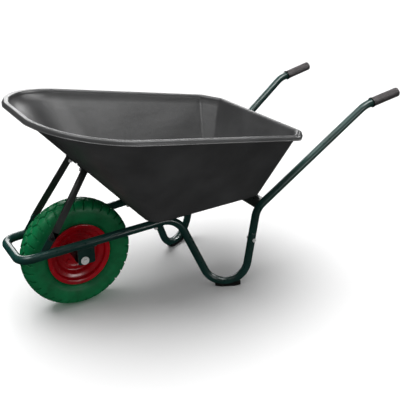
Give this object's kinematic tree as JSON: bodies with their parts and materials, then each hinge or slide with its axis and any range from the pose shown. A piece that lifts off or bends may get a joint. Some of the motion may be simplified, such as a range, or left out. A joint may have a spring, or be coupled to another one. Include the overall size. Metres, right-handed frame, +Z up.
{
  "type": "garden wheelbarrow",
  "caption": "Single-wheel garden barrow with a deep tapered plastic tray on a bent-tube frame with U-shaped legs, a pressed rim and a solid tyre",
  "frame": {"origin": "on the ground, under the middle of the overall length, on the middle plane", "axes": "+X towards the wheel end, +Y to the left of a person pushing, +Z up"},
  "size_m": [1.4908, 0.7398, 0.7424],
  "materials": {
    "frame_paint": "dark bottle green gloss paint on steel tube",
    "brace_paint": "charcoal paint on flat steel strip, satin",
    "grip_plastic": "brown-grey soft plastic, ribbed lengthwise",
    "shoe_plastic": "black plastic, lightly scuffed underneath",
    "tray_plastic": "anthracite moulded polypropylene, fine-grained satin",
    "cap_plastic": "black plastic dust cap",
    "hub_paint": "dark paint on turned steel tube",
    "rim_paint": "bright red gloss paint on pressed steel",
    "tyre_foam": "bright green solid foam, satin, block tread",
    "turned_steel": "turned bare steel",
    "black_steel": "blackened steel bolts and nuts, satin",
    "zinc_steel": "bright zinc-plated fasteners"
  },
  "bodies": {
    "frame": {"main_frame_tube": "frame_paint", "left_axle_bracket": "frame_paint", "right_axle_bracket": "frame_paint", "left_brace_lug": "frame_paint", "right_brace_lug": "frame_paint", "left_brace": "brace_paint", "right_brace": "brace_paint", "left_handle_tube": "frame_paint", "right_handle_tube": "frame_paint", "rear_cross_member": "brace_paint", "left_grip": "grip_plastic", "right_grip": "grip_plastic", "left_foot_shoe": "shoe_plastic", "right_foot_shoe": "shoe_plastic", "tray": "tray_plastic", "handle_joint_bolts": "zinc_steel", "handle_joint_nuts": "zinc_steel", "brace_lug_bolts": "black_steel", "brace_lug_nuts": "black_steel", "tray_front_bolts": "zinc_steel", "tray_front_nuts": "zinc_steel", "tray_rail_bolts": "zinc_steel", "tray_rail_nuts": "zinc_steel", "tray_rear_bolts": "zinc_steel", "tray_rear_nuts": "zinc_steel", "axle_bar": "turned_steel", "axle_bolts": "zinc_steel", "axle_washers": "zinc_steel", "left_axle_spacer": "turned_steel", "right_axle_spacer": "turned_steel", "left_bearing_inner_ring": "turned_steel", "right_bearing_inner_ring": "turned_steel"},
    "wheel": {"tyre": "tyre_foam", "left_rim_half": "rim_paint", "right_rim_half": "rim_paint", "rim_bolts": "rim_paint", "rim_nuts": "rim_paint", "hub_tube": "hub_paint", "left_dust_cap": "cap_plastic", "right_dust_cap": "cap_plastic", "left_bearing_outer_ring": "turned_steel", "right_bearing_outer_ring": "turned_steel", "left_bearing_balls": "turned_steel", "right_bearing_balls": "turned_steel"}
  },
  "joints": [
    {"name": "wheel_spin", "type": "hinge", "parent": "frame", "child": "wheel", "pos_m": [0.50538, 0, 0.2], "axis": [0, 1, 0], "continuous": true}
  ]
}
